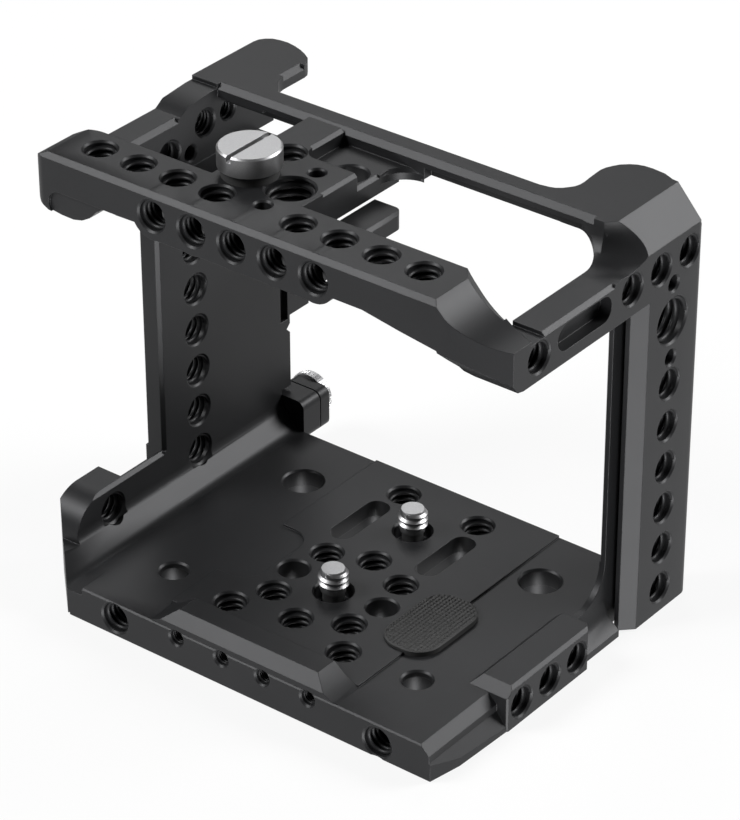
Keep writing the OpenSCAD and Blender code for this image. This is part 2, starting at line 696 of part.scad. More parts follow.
module left_lug() {
  color("dimgray") placed() difference() {
    translate([0, wall_y, 0]) rotate([90, 0, 0]) linear_extrude(height = wall_y)
      wall_section(lug_out, lug_top);
    block([-over, lug_lobe_back, -over], [wall_in - edge_bevel * 1.5, wall_y + over, cage_h]);
    translate([0, 0, -over]) linear_extrude(height = lug_top + 2 * over)
      polygon([[0, -over], [corner_cut + over, -over], [0, corner_cut]]);
    lug_corner();
    lug_bevels();
    bevel_y(wall_in, 0, lug_top, wall_y, edge_bevel);
    translate([corner_cut, 0, 0]) rotate([0, 0, 45])
      cube([edge_bevel, edge_bevel, 2 * edge_bevel], center = true);
    cut_right(wall_in, lug_hole_y, lug_top - lug_hole_drop, quarter_r, wall_t + corner_cut);
    foot_way(lug_hole_y, lug_top - lug_hole_drop);
    cut_front(front_wide_shares[0][0] * cage_w, 0, front_wide_shares[0][1] * floor_t, quarter_r,
      blind_depth);
  }
}

// Rounded front top corner of the lug
module lug_corner() {
  front = corner_cut - lug_round;
  difference() {
    block([-over, -over, lug_top - lug_round], [wall_in + edge_bevel, front + lug_round, lug_top + over]);
    translate([-2 * over, front + lug_round, lug_top - lug_round]) rotate([0, 90, 0])
      cylinder(h = corner_cut, r = lug_round);
  }
}

// Shallow bevel along the corner cut: the free space over the foot, tipped towards the corner
module lug_bevels() {
  z = floor_t + foot_w;
  translate([floor_x, lug_bevel_y, z]) rotate([0, 0, -lug_tilt]) rotate([lug_tilt, 0, 0])
    rotate([90, 0, 0]) linear_extrude(height = 2 * corner_cut) translate([-floor_x, -z]) foot_space();
}

module right_lug() {
  color("dimgray") placed() difference() {
    block([right_lug_x, right_lug_y, 0], [cage_w, right_lug_end, right_lug_top]);
    bevel_y(cage_w, right_lug_y - over, right_lug_top, right_lug_len + 2 * over, edge_bevel);
    bevel_y(right_lug_x, right_lug_y - over, right_lug_top, right_lug_len + 2 * over,
      right_lug_top - floor_t);
    bevel_x(right_lug_x - over, right_lug_y, right_lug_top, right_lug_w + 2 * over,
      right_lug_top - floor_t);
    bevel_z(cage_w, right_lug_end, 0, right_lug_top, edge_bevel * 2);
    bevel_z(cage_w, right_lug_y, 0, right_lug_top, edge_bevel / 2);
    for (s = right_lug_shares)
      cut_right(cage_w, right_lug_y + s * right_lug_len, right_lug_hole_z, quarter_r,
      right_lug_w + over);
  }
}

module right_upright() {
  lip_y = flange_y - lip_lead;
  color("dimgray") placed() difference() {
    union() {
      block([upright_x, flange_y, 0], [right_x, cage_d, right_bar_z]);
      block([upright_x, lip_y, 0], [upright_x + lip_w, flange_y, right_bar_z]);
      lip_foot(lip_y);
    }
    bevel_z(right_x, flange_y, -over, right_bar_z + 2 * over, flange_bevel);
    bevel_z(upright_x, lip_y, floor_t + lip_sweep_r, right_bar_z + 2 * over, edge_bevel / 2);
    corner_round(right_x, cage_d, back_round);
    block([upright_x + lip_w, lip_y - over, -over],
      [upright_x + lip_w + groove_w, flange_y + groove_d, right_bar_z - groove_stop]);
    for (i = [0 : side_count - 1])
      cut_right(right_x, side_row_y, side_first + i * side_pitch, quarter_r, upright_t + over);
    cut_right(right_x, side_row_y, big_side_z, three_eighths_r, upright_t + over);
    for (i = [-1, 1]) cut_right(right_x, side_row_y, big_side_z + i * pin_reach, pin_r, upright_t - lip_w);
  }
}

// Sweep from the floor up to the inner lip
module lip_foot(lip_y) {
  difference() {
    block([upright_x, lip_y - lip_sweep_r, floor_t], [upright_x + lip_w, lip_y, floor_t + lip_sweep_r]);
    translate([upright_x - over, lip_y - lip_sweep_r, floor_t + lip_sweep_r + seam]) rotate([0, 90, 0])
      cylinder(h = lip_w + 2 * over, r = lip_sweep_r);
  }
}

// Upright corner of radius r taken off at the back right
module corner_round(x, y, r) {
  difference() {
    translate([x - r, y - r, -over]) cube([r + over, r + over, cage_h + 2 * over]);
    translate([x - r, y - r, -2 * over]) cylinder(h = cage_h + 4 * over, r = r);
  }
}

module right_bar() {
  rise = right_drop;
  color("dimgray") placed() difference() {
    union() {
      block([right_in, bar_back, right_bar_z], [right_x, cage_d, right_top]);
      block([right_in, back_bar_y - rise, right_top - over], [right_x, back_bar_y, cage_h]);
      corner_web(rise);
    }
    translate([right_in - bar_row_pitch, back_bar_y - rise, cage_h]) rotate([0, 90, 0])
      cylinder(h = 3 * right_bar_t, r = rise);
    bevel_y(right_x, 0, right_top, back_bar_y - rise, right_bevel);
    bevel_y(right_x, back_bar_y - 2 * rise, cage_h, 2 * rise + over, lobe_bevel);
    bevel_x(right_in - web_r, back_bar_y - edge_bevel, cage_h, web_r / 2, back_bevel + edge_bevel);
    corner_sweep();
    corner_round(right_x, cage_d, back_round);
    side_pocket();
    cut_right(right_x, bar_back - first_back, first_row_z, quarter_r, right_bar_t + over);
    cut_right(right_x, side_row_y, big_side_z + pin_reach, pin_r, upright_t - lip_w);
    for (i = [0 : 2]) cut_right(right_x, cage_d - bar_row_back - i * bar_row_pitch, bar_row_z,
      quarter_r, right_bar_t + over);
  }
}

// Hollow sweep across the corner where the right bar rises to the lobe
module corner_sweep() {
  r = right_drop;
  translate([right_in, back_bar_y + edge_bevel, cage_h]) rotate([0, 0, 45]) translate([0, -r, 0])
    rotate([0, 90, 0]) cylinder(h = 4 * r, r = r, center = true);
}

// Thin rounded web between the right bar and the back bar
module corner_web(rise) {
  y = back_bar_y - rise;
  intersection() {
    translate([right_in - web_r, y, cage_h]) rotate([0, 90, 0]) cylinder(h = web_r, r = rise + edge_bevel);
    difference() {
      block([right_in - web_r, back_bar_y - web_r, right_bar_z], [right_in, back_bar_y, cage_h]);
      translate([right_in - web_r, back_bar_y - web_r, 0]) cylinder(h = cage_h + over, r = web_r);
    }
  }
}

// Long pocket in the outer face of the right bar
module side_pocket() {
  y0 = big_y;
  zm = (right_bar_z + right_top) / 2 + edge_bevel;
  for (y = [y0 + pocket_h / 2, y0 + pocket_len - pocket_h / 2]) translate([right_x - pocket_d, y, zm])
    rotate([0, 90, 0]) cylinder(h = pocket_d + over, r = pocket_h / 2);
  block([right_x - pocket_d, y0 + pocket_h / 2, zm - pocket_h / 2],
    [right_x + over, y0 + pocket_len - pocket_h / 2, zm + pocket_h / 2]);
}

module top_bar() {
  color("dimgray") placed() difference() {
    union() {
      intersection() {
        translate([0, bar_back, 0]) rotate([90, 0, 0]) linear_extrude(height = bar_d)
          polygon(hang(bar_under_shares, cage_w, right_depth()));
        linear_extrude(height = cage_h) bar_plan();
      }
      for (i = [-2 : 2]) boss(big_x + i * top_pitch);
      right_end();
    }
    bevel_x(-end_bulge - over, bar_y, cage_h, cage_w, bar_bevel);
    lip_recess();
    right_sweep();
    for (i = [0 : top_count - 1]) if (i != big_index)
      cut_up(top_first + i * top_pitch, top_row_y, cage_h, quarter_r, bar_t + boss_r);
    for (i = [-2 : 2]) cut_front(big_x + i * top_pitch, bar_y, front_hole_z, quarter_r, boss_len);
    cut_up(big_x, big_y - pin_reach, cage_h, pin_r, blind_depth);
    cut_up(big_x, big_y, cage_h, three_eighths_r, bar_t + boss_r);
    cut_up(spare_x, big_y, cage_h, quarter_r, bar_t + boss_r);
    cut_right(right_x, bar_back - first_back, first_row_z, quarter_r, right_bar_t + over);
  }
}

// Plan of the top bar with its rounded left end and faceted right end
module bar_plan() {
  r = end_round;
  s = end_back_round;
  left = -end_bulge;
  translate([left + s, bar_y]) square([cage_w * bar_right_shares[0][0] - left - s + over, bar_d]);
  translate([left + r, bar_y]) square([s, bar_d - s]);
  translate([left, bar_y + r]) square([s, bar_d - r - s]);
  translate([left + r, bar_y + r]) circle(r = r);
  translate([left + s, bar_back - s]) circle(r = s);
  translate([0, bar_y]) polygon(spread(bar_right_shares, cage_w, bar_d));
}

module boss(x) {
  translate([x, bar_y + boss_len, front_hole_z]) rotate([90, 0, 0]) cylinder(h = boss_len, r = boss_r);
}

// Step in the front of the lip that hangs from the left end
module lip_recess() {
  r = end_round;
  translate([r + lip_step, bar_y, bar_z - r]) rotate([90, 0, 0]) translate([0, 0, -lip_step])
    linear_extrude(height = lip_step + over) {
    circle(r = r);
    translate([0, -2 * r]) square([lip_run, 3 * r]);
  }
}

// Solid end that meets the right bar, with a sloping underside
module right_end() {
  intersection() {
    translate([0, bar_back, 0]) rotate([90, 0, 0]) linear_extrude(height = bar_d)
      polygon(hang(end_front_shares, cage_w, right_depth()));
    translate([cage_w / 2, bar_y, 0]) rotate([90, 0, 90]) linear_extrude(height = cage_w)
      polygon(hang(end_side_shares, bar_d, right_depth()));
    linear_extrude(height = cage_h) end_plan();
  }
}

module end_plan() {
  translate([0, bar_y]) polygon(spread(bar_right_shares, cage_w, bar_d));
  translate([right_in, bar_back - bar_t]) square([right_x - right_in, bar_t]);
}

// Hollow sweep from the top face down to the right bar, wider along its back edge
module right_sweep() {
  r = (sweep_run * sweep_run + sweep_drop * sweep_drop) / (2 * sweep_drop);
  z = cage_h - sweep_drop + r;
  translate([right_x, bar_back + over, z]) rotate([90, 0, 0]) cylinder(h = cage_d, r = r);
  intersection() {
    translate([right_x, bar_back, z]) rotate([90, 0, 0])
      cylinder(h = flare_band, r1 = r + sweep_flare, r2 = r);
    block([0, bar_y, bar_z - bar_t], [right_in, bar_back + over, cage_h + over]);
  }
  block([right_x - seam, 0, cage_h - sweep_drop], [cage_w + over, bar_back + over, cage_h + over]);
}

module left_bar() {
  ramp = [for (p = left_ramp_shares) [bar_back + p[0] * window_d, cage_h - p[1] * left_drop]];
  start = ramp[0][0];
  color("dimgray") placed() difference() {
    union() {
      block([left_out, bar_back, wall_step_z], [upper_in, upper_back, left_top]);
      translate([left_out, 0, 0]) rotate([90, 0, 90]) linear_extrude(height = upper_in - left_out)
        polygon(concat(ramp, [[back_bar_y, wall_step_z], [start, wall_step_z]]));
    }
    bevel_y(upper_in, bar_back - over, left_top, start - bar_back, left_bevel);
    for (p = upper_place_shares) upper_hole(p, p[2] * upper_thread_r, upper_in);
    upper_hole(upper_blind_shares, pin_r, blind_depth / 2);
    upper_hole(upper_big_shares, quarter_r, blind_depth / 2);
  }
}

// Hole in the inner face of the left bar, placed by shares of its depth and height
module upper_hole(p, r, depth) {
  y = bar_back + p[0] * (upper_back - bar_back);
  z = wall_step_z + p[1] * (left_top - wall_step_z);
  cut_right(upper_in, y, z, r, depth);
}

module back_bar() {
  low_y = back_bar_y + back_edge_t;
  color("dimgray") placed() difference() {
    union() {
      translate([0, 0, cage_h - back_edge_t]) linear_extrude(height = back_edge_t) back_plan();
      translate([0, 0, cage_h - back_bar_t]) linear_extrude(height = back_bar_t) difference() {
        back_plan();
        square([cage_w, low_y]);
      }
      translate([0, 0, left_top]) linear_extrude(height = cage_h - left_top) left_lobe_plan();
      translate([0, 0, cage_h - back_edge_t]) linear_extrude(height = back_edge_t) right_lobe_plan();
      translate([0, 0, right_top]) linear_extrude(height = cage_h - right_top) difference() {
        right_lobe_plan();
        square([right_in, back_bar_back + 2 * edge_bevel]);
      }
      block([block_x, back_bar_y, cage_h - back_bar_t], [block_end + web_r, low_y, cage_h - back_edge_t]);
    }
    bevel_x(upper_in, back_bar_y, cage_h, right_in - web_r / 2 - upper_in, back_bevel);
    corner_sweep();
    bevel_y(right_x, back_bar_y - over, cage_h, cage_d, lobe_bevel);
    lobe_edge(left_lobe_shares[12], left_lobe_shares[13]);
    corner_round(right_x, cage_d, back_round);
  }
}

module back_plan() {
  translate([upper_in, back_bar_y]) square([right_x - upper_in, back_bar_w]);
}

// Bevel between two points of the left lobe's outline that share one X
module lobe_edge(far, near) {
  bevel_y(cage_w * far[0], back_bar_y + lobe_d * near[1], cage_h, lobe_d * (far[1] - near[1]), back_bevel);
}

module left_lobe_plan() {
  translate([0, back_bar_y]) polygon(spread(left_lobe_shares, cage_w, lobe_d));
}

module right_lobe_plan() {
  translate([0, back_bar_y])
    polygon(concat(spread(right_lobe_shares, cage_w, lobe_d), [[right_x, 0]]));
}

module centre_block() {
  shelf_z = cage_h - shelf_drop;
  color("dimgray") placed() difference() {
    union() {
      block([block_x, bar_back, cage_h - block_t], [block_end, back_bar_y, cage_h]);
      shelf_web(shelf_z);
    }
    shelf_cut(shelf_z);
    block_bevel();
    cut_up(big_x, big_y, cage_h, three_eighths_r, block_t + over);
    cut_up(big_x, big_y + pin_reach, cage_h, pin_r, blind_depth);
    cut_up(spare_x, big_y, cage_h, quarter_r, block_t + over);
    cut_up(block_at(block_hole_shares).x, block_at(block_hole_shares).y, cage_h, quarter_r, block_t + over);
    cut_up(block_at(shelf_hole_shares).x, block_at(shelf_hole_shares).y, shelf_z, shelf_hole_r,
      block_t + over);
  }
}

// Point on the centre block, from shares of its width and of the window's depth
function block_at(p) = [block_x + p[0] * block_w, bar_back + p[1] * window_d];

// Bevel along the block's right edge, in front of the shelf
module block_bevel() {
  y = bar_back + block_bevel_share * window_d;
  bevel_y(block_end, y, cage_h, block_at(shelf_shares).y + edge_bevel - y, edge_bevel);
}

// Rounded web between the shelf and the back bar
module shelf_web(z) {
  difference() {
    block([block_end, back_bar_y - web_r, z - web_t], [block_end + web_r, back_bar_y, z]);
    translate([block_end + web_r, back_bar_y - web_r, z - web_t - over])
      cylinder(h = web_t + 2 * over, r = web_r);
    translate([block_end + web_r, back_bar_y - web_r, z - edge_bevel])
      cylinder(h = edge_bevel + over, r1 = web_r, r2 = web_r + edge_bevel + over);
  }
}

// Sunk shelf at the back right of the centre block
module shelf_cut(z) {
  x0 = block_at(shelf_shares).x;
  y0 = block_at(shelf_shares).y;
  r = quarter_r;
  translate([0, 0, z]) linear_extrude(height = shelf_drop + over) {
    translate([x0 + r, y0]) square([block_w, back_bar_y - y0 + over]);
    translate([x0, y0 + r]) square([r + over, back_bar_y - y0 + over]);
    translate([x0 + r, y0 + r]) circle(r = r);
  }
  bevel_y(x0, y0 + r, cage_h, back_bar_y - y0, edge_bevel);
  bevel_y(block_end, y0, z, back_bar_y - web_r - y0, edge_bevel);
}

module shelf_tongue() {
  x = block_end + tongue_w;
  y = bar_back + tongue_share * window_d;
  color("dimgray") placed() difference() {
    block([block_end, bar_back, tongue_top - tongue_t], [x, y, tongue_top]);
    bevel_y(x, bar_back - over, tongue_top, window_d, edge_bevel);
    corner_round(x, y, tongue_t / 2);
  }
}

// Screw with its tip at the top, its foot at z = 0
module stud_shape() {
  head = screw_head_t;
  difference() {
    translate([0, 0, face_gap]) cylinder(h = head, r = screw_head_r);
    translate([-screw_head_r - over, -drive_w / 2, face_gap - over])
      cube([2 * screw_head_r + 2 * over, drive_w, drive_d + over]);
  }
  translate([0, 0, head / 2]) cylinder(h = pad_z, r = neck_r);
  translate([0, 0, pad_z + face_gap]) cylinder(h = stud_tip - pad_z - face_gap - edge_bevel, r = stud_r);
  translate([0, 0, stud_tip - edge_bevel]) cylinder(h = edge_bevel, r1 = stud_r, r2 = stud_r - edge_bevel);
}

module camera_screw_front() {
  p = screw_place_shares[0];
  color("silver") placed() translate([p[0] * cage_w, p[1] * base_d, 0]) stud_shape();
}

module camera_screw_back() {
  p = screw_place_shares[1];
  color("silver") placed() translate([p[0] * cage_w, p[1] * base_d, 0]) stud_shape();
}

// Thin clip round the neck, above the head
module clip_shape() {
  translate([0, 0, face_gap + screw_head_t]) difference() {
    cylinder(h = clip_t, r = neck_r + clip_w);
    translate([0, 0, -over]) cylinder(h = clip_t + 2 * over, r = neck_r + run_gap);
  }
}

module screw_clip_front() {
  p = screw_place_shares[0];
  color("black") placed() translate([p[0] * cage_w, p[1] * base_d, 0]) clip_shape();
}

module screw_clip_back() {
  p = screw_place_shares[1];
  color("black") placed() translate([p[0] * cage_w, p[1] * base_d, 0]) clip_shape();
}

module spare_screw() {
  color("silver") placed() translate([spare_x, big_y, cage_h + washer_t]) {
    difference() {
      union() {
        cylinder(h = spare_head_t - edge_bevel / 2, r = spare_head_r);
        translate([0, 0, spare_head_t - edge_bevel / 2])
          cylinder(h = edge_bevel / 2, r1 = spare_head_r, r2 = spare_head_r - edge_bevel / 2);
      }
      translate([-drive_w / 2, -spare_head_r - over, spare_head_t - drive_d])
        cube([drive_w, 2 * spare_head_r + 2 * over, drive_d + over]);
    }
    translate([0, 0, -washer_t - spare_len])
      cylinder(h = spare_len + washer_t + edge_bevel, r = quarter_r - run_gap);
  }
}

module spare_washer() {
  color("black") placed() translate([spare_x, big_y, cage_h]) difference() {
    cylinder(h = washer_t, r = washer_r);
    translate([0, 0, -over]) cylinder(h = washer_t + 2 * over, r = quarter_r + mouth_flare);
  }
}

module rubber_pad() {
  p = rubber_place_shares[0];
  color("black") placed() translate([p[0] * cage_w, p[1] * base_d, pad_z - pad_sink]) difference() {
    linear_extrude(height = pad_sink + pad_proud) round_rect(pad_w, pad_len, pad_round);
    bevel_y(pad_w / 2, -pad_len, pad_sink + pad_proud, 2 * pad_len, pad_proud / 2);
    bevel_y(-pad_w / 2, -pad_len, pad_sink + pad_proud, 2 * pad_len, pad_proud / 2);
    bevel_x(-pad_w, pad_len / 2, pad_sink + pad_proud, 2 * pad_w, pad_proud / 2);
    bevel_x(-pad_w, -pad_len / 2, pad_sink + pad_proud, 2 * pad_w, pad_proud / 2);
  }
}

// Places of the clamp's bolts
function bolt_x(i) = wall_in - clamp_under + clamp_w / 2 + (2 * i - 1) * (clamp_w / 2 - clamp_round);
function bolt_z() = clamp_z0 + clamp_round;

// Bores for the clamp's bolts
module bolt_cuts(head) {
  for (i = [0, 1]) {
    translate([bolt_x(i), base_d - blind_depth - over, bolt_z()]) rotate([-90, 0, 0])
      cylinder(h = blind_depth + clamp_len, r = bolt_r);
    if (head) translate([bolt_x(i), base_d + clamp_len - bolt_head_t, bolt_z()]) rotate([-90, 0, 0])
      cylinder(h = bolt_head_t + over, r = bolt_head_r + run_gap);
  }
}

// Place of the clamp's screw
function clamp_x() = wall_in - clamp_under + clamp_w / 2 - clamp_round / 2;
function clamp_z() = clamp_z0 + clamp_h * thumb_share;

module clamp_section() {
  translate([wall_in - clamp_under + clamp_w / 2, clamp_z0 + clamp_h / 2])
    round_rect(clamp_w, clamp_h, clamp_round);
}

module clamp_body() {
  color("dimgray") placed() difference() {
    translate([0, base_d + clamp_len, 0]) rotate([90, 0, 0]) linear_extrude(height = clamp_len)
      clamp_section();
    translate([clamp_x(), base_d - over, clamp_z()]) rotate([-90, 0, 0])
      cylinder(h = clamp_len + 2 * over, r = thumb_stem_r + run_gap);
    bolt_cuts(true);
  }
}

module clamp_jaw() {
  y0 = base_d + clamp_len + jaw_gap;
  color("dimgray") placed() difference() {
    translate([0, y0 + jaw_t, 0]) rotate([90, 0, 0]) linear_extrude(height = jaw_t) clamp_section();
    translate([clamp_x(), y0 - over, clamp_z()]) rotate([-90, 0, 0])
      cylinder(h = jaw_t + 2 * over, r = thumb_stem_r + run_gap);
  }
}

module clamp_thumb_screw() {
  y0 = base_d + clamp_len + jaw_gap + jaw_t;
  color("silver") placed() {
    difference() {
      translate([clamp_x(), y0, clamp_z()]) rotate([-90, 0, 0]) cylinder(h = thumb_t, r = thumb_r);
      block([clamp_x() - thumb_r - over, y0 + thumb_t - drive_d / 2, clamp_z() - drive_w / 2],
        [clamp_x() + thumb_r + over, y0 + thumb_t + over, clamp_z() + drive_w / 2]);
    }
    translate([clamp_x(), base_d + edge_bevel, clamp_z()]) rotate([-90, 0, 0])
      cylinder(h = clamp_len + jaw_gap + jaw_t, r = thumb_stem_r);
  }
}

// Bolts that hold the clamp's body to the wall
module clamp_bolts() {
  color("silver") placed() for (i = [0, 1]) {
    translate([bolt_x(i), base_d + clamp_len - bolt_head_t, bolt_z()]) rotate([-90, 0, 0])
      cylinder(h = bolt_head_t, r = bolt_head_r);
    translate([bolt_x(i), base_d - blind_depth, bolt_z()]) rotate([-90, 0, 0])
      cylinder(h = blind_depth + clamp_len - bolt_head_t / 2, r = bolt_r);
  }
}

base_plate();
left_wall();
left_lug();
right_lug();
right_upright();
top_bar();
left_bar();
back_bar();
centre_block();
right_bar();
shelf_tongue();
camera_screw_front();
camera_screw_back();
screw_clip_front();
screw_clip_back();
spare_screw();
spare_washer();
rubber_pad();
clamp_body();
clamp_jaw();
clamp_thumb_screw();
clamp_bolts();
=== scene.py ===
import json
import math
import bmesh
import bpy
import mathutils
import numpy as np
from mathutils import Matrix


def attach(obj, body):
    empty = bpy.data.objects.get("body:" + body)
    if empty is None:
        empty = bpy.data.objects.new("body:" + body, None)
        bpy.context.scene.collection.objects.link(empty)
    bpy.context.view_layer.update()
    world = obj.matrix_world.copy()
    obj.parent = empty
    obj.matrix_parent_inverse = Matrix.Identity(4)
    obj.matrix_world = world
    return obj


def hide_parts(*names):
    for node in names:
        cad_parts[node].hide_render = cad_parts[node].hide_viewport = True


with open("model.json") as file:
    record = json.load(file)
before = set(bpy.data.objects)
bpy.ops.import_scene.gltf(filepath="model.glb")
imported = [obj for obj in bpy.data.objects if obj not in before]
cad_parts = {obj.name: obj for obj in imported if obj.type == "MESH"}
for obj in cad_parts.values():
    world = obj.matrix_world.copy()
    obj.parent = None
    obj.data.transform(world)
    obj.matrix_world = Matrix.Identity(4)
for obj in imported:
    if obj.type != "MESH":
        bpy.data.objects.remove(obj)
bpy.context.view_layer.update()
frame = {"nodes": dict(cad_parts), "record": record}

mm = 0.001
tau = 2 * math.pi
up, front, right = (0, 0, 1), (0, -1, 0), (1, 0, 0)

# places are given from the left edge of the top face, the front of the base and the underside, in mm
cage = {
    "width": 107.5, "bulge": 3.25, "depth": 82.3, "height": 89.6,
    "rightFace": 107.25, "floor": 7.5, "pad": 8.0,
}


# mm on the cage to metres in the frame, which is centred on the whole cage in X and Y
def place(x, y, z):
    return np.array([x - (cage["width"] - cage["bulge"]) / 2, y - cage["depth"] / 2, z]) * mm


class Value:  # wraps a socket; arithmetic on it adds Math nodes
    def __init__(self, tree, socket):
        self.tree, self.socket = tree, socket

    def math(self, operation, *others):
        inputs = {i: v for i, v in enumerate((self,) + others)}
        return self.tree.node("ShaderNodeMath", {"operation": operation}, inputs)

    def __add__(self, o): return self.math("ADD", o)
    def __radd__(self, o): return self.math("ADD", o)
    def __sub__(self, o): return self.math("SUBTRACT", o)
    def __rsub__(self, o): return self.tree.node("ShaderNodeMath", {"operation": "SUBTRACT"}, {0: o, 1: self})
    def __mul__(self, o): return self.math("MULTIPLY", o)
    def __rmul__(self, o): return self.math("MULTIPLY", o)
    def clamp(self, low=0.0, high=1.0): return self.math("MAXIMUM", low).math("MINIMUM", high)


class Tree:  # a material's nodes, with the principled shader at its end
    def __init__(self, name):
        self.material = bpy.data.materials.new(name)
        self.material.use_nodes = True
        self.nodes, self.links = self.material.node_tree.nodes, self.material.node_tree.links
        self.shader = self.nodes["Principled BSDF"]

    def set(self, socket, value):
        if isinstance(value, Value):
            self.links.new(value.socket, socket)
        else:
            socket.default_value = value

    def node(self, kind, settings=None, inputs=None, output=0):
        made = self.nodes.new(kind)
        for key, value in (settings or {}).items():
            setattr(made, key, value)
        for key, value in (inputs or {}).items():
            self.set(made.inputs[key], value)
        return Value(self, made.outputs[output])

    def feed(self, **sockets):
        for key, value in sockets.items():
            self.set(self.shader.inputs[key.replace("_", " ")], value)

    def noise(self, where, scale, detail=2.0):
        return self.node("ShaderNodeTexNoise", None, {"Vector": where, "Scale": scale, "Detail": detail})

    def mixColour(self, factor, a, b):
        return self.node("ShaderNodeMix", {"data_type": "RGBA"}, {0: factor, 6: a, 7: b}, output=2)


def grey(level):
    return (level, level, level, 1.0)


anodised = {
    "dark": (0.011, 0.0112, 0.0121, 1), "pale": (0.021, 0.0213, 0.0225, 1), "worn": (0.11, 0.11, 0.115, 1),
    "metallic": 0.4, "specular": 0.26, "roughness": 0.44, "grain": 0.14 * mm, "edge": 0.22 * mm, "bump": 0.12,
}


def anodisedMetal(name):  # bead-blasted black skin: fine grain, slightly paler on worn edges
    t = Tree(name)
    where = t.node("ShaderNodeTexCoord", output=3)
    grain = t.noise(where, 1 / anodised["grain"])
    cloud = t.noise(where, 90.0, 4.0)
    base = t.mixColour((grain * 0.8 + cloud * 0.5 - 0.15).clamp(), anodised["dark"], anodised["pale"])
    rounded = t.node("ShaderNodeBevel", {"samples": 4}, {"Radius": anodised["edge"]})
    flat = t.node("ShaderNodeNewGeometry", output=1)
    turn = t.node("ShaderNodeVectorMath", {"operation": "DOT_PRODUCT"}, {0: rounded, 1: flat}, output=1)
    wear = ((1.0 - turn) * 3.0).clamp() * (cloud * 1.6 - 0.35).clamp()
    t.feed(Base_Color=t.mixColour(wear * 0.5, base, anodised["worn"]))
    t.feed(Metallic=anodised["metallic"], Roughness=anodised["roughness"] + (grain - 0.5) * 0.16)
    t.feed(Specular_IOR_Level=anodised["specular"])
    bump = {"Strength": anodised["bump"], "Distance": 0.04 * mm, "Height": grain, "Normal": rounded}
    t.feed(Normal=t.node("ShaderNodeBump", None, bump))
    return t.material


steel = {"dark": (0.23, 0.23, 0.235, 1), "pale": (0.40, 0.40, 0.405, 1), "roughness": 0.42, "edge": 0.06 * mm}


def turnedSteel(name):  # satin steel with a fine grain and cloudy wear
    t = Tree(name)
    where = t.node("ShaderNodeTexCoord", output=3)
    fine, cloud = t.noise(where, 4000.0), t.noise(where, 300.0, 3.0)
    t.feed(Base_Color=t.mixColour((fine * 0.6 + cloud * 0.4).clamp(), steel["dark"], steel["pale"]))
    t.feed(Metallic=1.0, Roughness=steel["roughness"] + (cloud - 0.5) * 0.15)
    rounded = t.node("ShaderNodeBevel", {"samples": 4}, {"Radius": steel["edge"]})
    bump = {"Strength": 0.04, "Distance": 0.05 * mm, "Height": fine, "Normal": rounded}
    t.feed(Normal=t.node("ShaderNodeBump", None, bump))
    return t.material


def mattBlack(name, level, roughness):
    t = Tree(name)
    where = t.node("ShaderNodeTexCoord", output=3)
    fine = t.noise(where, 3000.0, 3.0)
    t.feed(Base_Color=t.mixColour(fine, grey(level * 0.7), grey(level * 1.4)))
    t.feed(Metallic=0.0, Roughness=roughness + (fine - 0.5) * 0.2)
    t.feed(Normal=t.node("ShaderNodeBump", None, {"Strength": 0.15, "Distance": 0.05 * mm, "Height": fine}))
    return t.material


looks = {
    "black_anodised": anodisedMetal("blackAnodised"),
    "steel": turnedSteel("satinSteel"),
    "black_steel": mattBlack("blackOxide", 0.03, 0.45),
    "rubber": mattBlack("rubber", 0.022, 0.7),
}
slotOf = {s["node"]: s["material_slot"] for s in frame["record"]["subparts"]}
for name, node in frame["nodes"].items():
    node.data.materials.clear()
    node.data.materials.append(looks[slotOf[name]])
print("finishes made")


sharp = {"skin": 30, "forms": 35}  # edges steeper than this, in degrees, stay crisp


# a piece from a mesh, with its finish and the body it rides on
def dressed(name, data, look, body, sharpAngle=None):
    data.polygons.foreach_set("use_smooth", np.ones(len(data.polygons), bool))
    if sharpAngle:
        data.set_sharp_from_angle(angle=math.radians(sharpAngle))
    data.materials.append(looks[look])
    piece = bpy.data.objects.new(name, data)
    bpy.context.scene.collection.objects.link(piece)
    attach(piece, body)
    return piece


def axesFor(axis):  # two unit vectors square to the axis, right-handed with it
    axis = np.array(axis, float)
    side = np.array([0.0, 0.0, 1.0]) if abs(axis[2]) < 0.5 else np.array([1.0, 0.0, 0.0])
    u = np.cross(side, axis)
    u /= np.linalg.norm(u)
    return u, np.cross(axis, u), axis


# quads of a grid of points whose rows are closed rings
def gridFaces(rows, columns):
    i, j = np.arange(rows - 1)[:, None], np.arange(columns)[None, :]
    k = (j + 1) % columns
    low, high = i * columns, (i + 1) * columns
    return np.stack([low + j, low + k, high + k, high + j], -1).reshape(-1, 4)


def gather(parts):  # joins several point and face arrays into one
    starts = np.cumsum([0] + [len(p) for p, f in parts[:-1]])
    return np.concatenate([p for p, f in parts]), np.concatenate([f + s for (p, f), s in zip(parts, starts)])


# a ridge fades into its wall over so many radians at both ends, down to a thin share of its height; its foot
# takes up a share of the half pitch, and its crown a share of the foot
ridge = {"fade": 1.2, "thin": 0.05, "foot": 0.97, "crown": 0.15}


